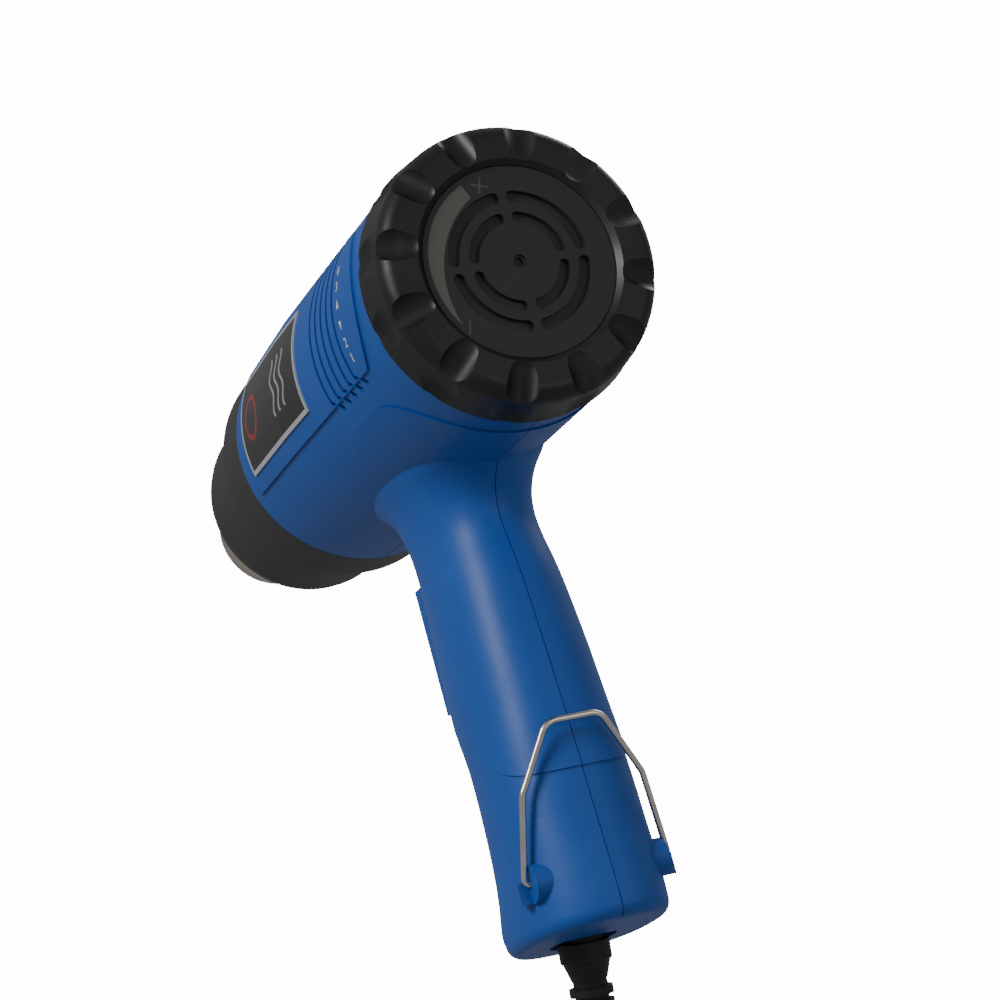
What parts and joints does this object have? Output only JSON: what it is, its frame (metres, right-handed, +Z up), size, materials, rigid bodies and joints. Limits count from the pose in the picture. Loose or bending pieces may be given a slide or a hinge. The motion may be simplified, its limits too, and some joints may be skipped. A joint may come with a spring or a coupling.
{
  "type": "heat gun",
  "caption": "Pistol-grip hot-air gun: barrel with blower and heater, steel outlet tube, rear heat dial, rocker switch, folding hanging wire and a coiled mains lead with plug",
  "frame": {"origin": "middle of the hand grip, 76 mm ahead of the rear grille's face and 100 mm below the barrel axis", "axes": "+X along the barrel towards the outlet, +Y to the gun's left, +Z up, barrel level"},
  "size_m": [0.2425, 0.08, 0.4977],
  "materials": {
    "blue_plastic": "moulded ABS with a fine grain, deep blue",
    "black_plastic": "moulded black plastic, satin",
    "grille_plastic": "moulded dark grey plastic, satin",
    "shroud_plastic": "heat-resistant black plastic, fine grain",
    "switch_plastic": "black, slightly glossy",
    "white_nylon": "moulded nylon, off-white",
    "dark_resin": "moulded glass-filled resin, dark",
    "label_plate": "brushed foil label, black with a silver border",
    "screw_steel": "zinc-plated steel",
    "zinc_steel": "zinc-plated sheet steel",
    "ferrite": "dark, matt",
    "brass": "turned brass",
    "plug_brass": "nickel-plated brass",
    "nozzle_steel": "stainless steel tube, satin",
    "mica": "mica board, straw coloured",
    "heater_alloy": "resistance wire, dull grey",
    "bail_steel": "drawn stainless wire, bright",
    "board_green": "circuit board, green lacquer",
    "sink_aluminium": "extruded, plain",
    "wire_jacket": "PVC-insulated cores",
    "cord_rubber": "black rubber, matt",
    "tie_fabric": "woven hook-and-loop strap, black"
  },
  "bodies": {
    "gun": {"housing_left": "blue_plastic", "housing_right": "blue_plastic", "housing_screws": "screw_steel", "label_left": "label_plate", "label_right": "label_plate", "heat_control": "dark_resin", "rear_grille": "grille_plastic", "rear_carrier": "dark_resin", "motor_can": "zinc_steel", "motor_end_cap": "dark_resin", "motor_magnets": "ferrite", "motor_bushes": "brass", "motor_mount": "dark_resin", "air_funnel": "zinc_steel", "nozzle_tube": "nozzle_steel", "mica_sleeve": "mica", "heater_core": "mica", "heating_wire": "heater_alloy", "heat_cutout": "brass", "front_shroud": "shroud_plastic", "nozzle_spacer": "mica", "switch_body": "switch_plastic", "rocker_pin": "screw_steel", "control_board": "board_green", "heat_sink": "sink_aluminium", "inner_wires": "wire_jacket", "strain_relief": "cord_rubber", "lead_end": "cord_rubber", "cord_clamp": "dark_resin", "clamp_screws": "screw_steel", "cord_coil": "cord_rubber", "cord_tie": "tie_fabric", "plug_body": "cord_rubber", "plug_pins": "plug_brass", "cord_lead": "cord_rubber", "cord_tail": "cord_rubber"},
    "dial": {"heat_dial": "black_plastic"},
    "control_pinion": {"dial_pinion": "white_nylon"},
    "rotor": {"fan": "dark_resin", "motor_shaft": "screw_steel", "armature": "ferrite"},
    "rocker": {"rocker_button": "switch_plastic"},
    "bail": {"hanging_bail": "bail_steel"}
  },
  "joints": [
    {"name": "dial_turn", "type": "hinge", "parent": "gun", "child": "dial", "pos_m": [-0.076, 0, 0.1], "axis": [1, 0, 0], "range_deg": [-50, 50]},
    {"name": "control_turn", "type": "hinge", "parent": "gun", "child": "control_pinion", "pos_m": [-0.076, 0, 0.078], "axis": [1, 0, 0], "range_deg": [-150, 150]},
    {"name": "fan_spin", "type": "hinge", "parent": "gun", "child": "rotor", "pos_m": [-0.026, 0, 0.1], "axis": [1, 0, 0], "continuous": true},
    {"name": "switch_rock", "type": "hinge", "parent": "gun", "child": "rocker", "pos_m": [0.0224, 0, 0.022], "axis": [0, 1, 0], "range_deg": [-12, 12]},
    {"name": "bail_swing", "type": "hinge", "parent": "gun", "child": "bail", "pos_m": [-0.0175, 0, -0.0533], "axis": [0, 1, 0], "range_deg": [-160, 0]}
  ],
  "couplings": [
    {"joint": "control_turn", "follows": "dial_turn", "ratio": 3}
  ]
}
